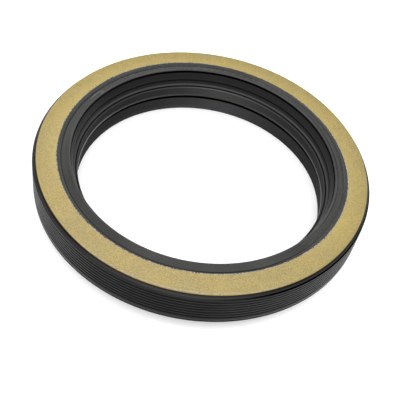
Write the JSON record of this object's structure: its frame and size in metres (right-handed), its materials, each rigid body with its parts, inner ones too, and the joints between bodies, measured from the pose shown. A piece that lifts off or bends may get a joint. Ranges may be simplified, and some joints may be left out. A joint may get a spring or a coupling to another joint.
{
  "type": "axle oil seal",
  "caption": "Round rubber-covered shaft seal with a bare gold-coloured steel face, ribbed outer wall and stepped sealing lip, pressed into a hub bore around an axle.",
  "frame": {"origin": "centre of the flat bottom face, on the seal's axis", "axes": "+Z along the seal's axis, out of the bare steel face; X and Y are free, as the seal is round"},
  "size_m": [0.16, 0.16, 0.0245],
  "materials": {
    "coated_steel": "matte gold-coloured coating with a fine grain",
    "seal_rubber": "satin moulded black rubber",
    "spring_steel": "bright drawn wire, lightly oiled",
    "black_coated_steel": "satin black coating"
  },
  "bodies": {
    "root": {"outer_case": "coated_steel", "seal_body": "seal_rubber", "garter_spring": "spring_steel", "retaining_ring": "black_coated_steel"}
  },
  "joints": []
}
